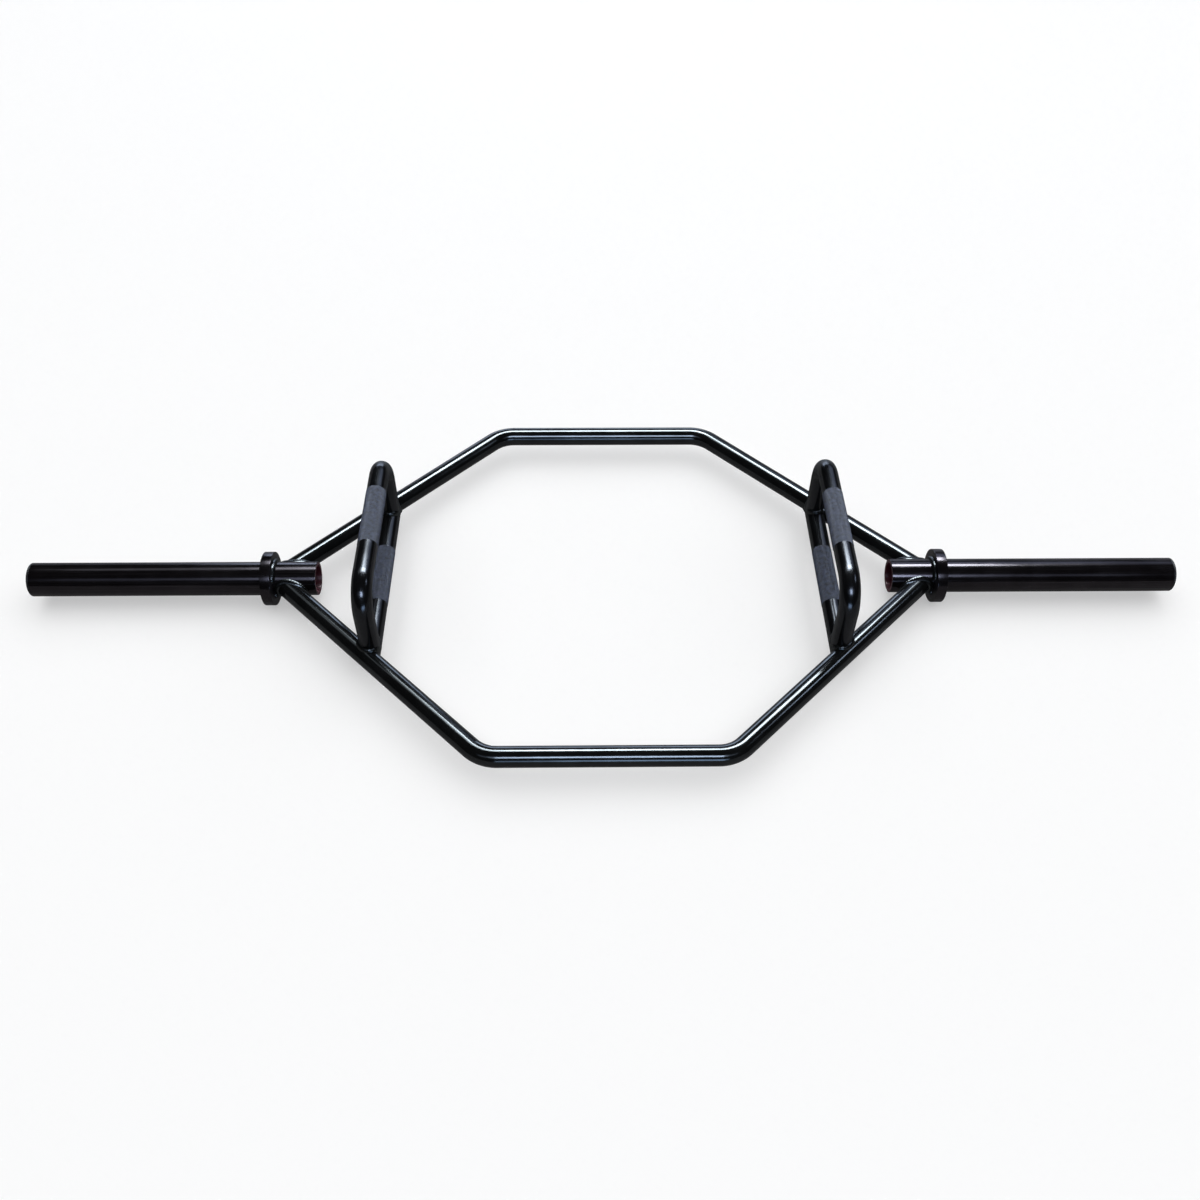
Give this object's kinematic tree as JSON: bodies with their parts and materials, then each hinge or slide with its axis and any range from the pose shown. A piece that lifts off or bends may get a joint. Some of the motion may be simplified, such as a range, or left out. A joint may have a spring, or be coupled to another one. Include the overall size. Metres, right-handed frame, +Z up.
{
  "type": "hexagonal deadlift bar",
  "caption": "Hexagonal lifting bar: bent tube frame the lifter stands in, loadable sleeves with stop collars at both ends, and low and raised handles on both sides.",
  "frame": {"origin": "under the middle of the bar, level with the lowest point of the two collars that it rests on", "axes": "+X along the sleeves to the right, -Y towards the front rail, +Z up with the raised handles on top"},
  "size_m": [1.704, 0.673, 0.1685],
  "materials": {
    "frame_paint": "gloss black paint over steel tube",
    "sleeve_paint": "satin black paint, lightly streaked",
    "collar_paint": "satin black paint",
    "handle_paint": "gloss black paint with matte knurled grip zones",
    "weld_paint": "painted weld bead",
    "cap_plastic": "black moulded plastic"
  },
  "bodies": {
    "root": {"front_left_leg_weld": "weld_paint", "front_left_low_handle_weld": "weld_paint", "front_left_sleeve_weld": "weld_paint", "front_right_leg_weld": "weld_paint", "front_right_low_handle_weld": "weld_paint", "front_right_sleeve_weld": "weld_paint", "front_side_tube": "frame_paint", "left_collar": "collar_paint", "left_collar_lower_weld": "weld_paint", "left_collar_upper_weld": "weld_paint", "left_end_cap": "cap_plastic", "left_low_handle": "handle_paint", "left_raised_handle": "handle_paint", "left_sleeve": "sleeve_paint", "rear_left_leg_weld": "weld_paint", "rear_left_low_handle_weld": "weld_paint", "rear_left_sleeve_weld": "weld_paint", "rear_right_leg_weld": "weld_paint", "rear_right_low_handle_weld": "weld_paint", "rear_right_sleeve_weld": "weld_paint", "rear_side_tube": "frame_paint", "right_collar": "collar_paint", "right_collar_lower_weld": "weld_paint", "right_collar_upper_weld": "weld_paint", "right_end_cap": "cap_plastic", "right_low_handle": "handle_paint", "right_raised_handle": "handle_paint", "right_sleeve": "sleeve_paint"}
  },
  "joints": []
}
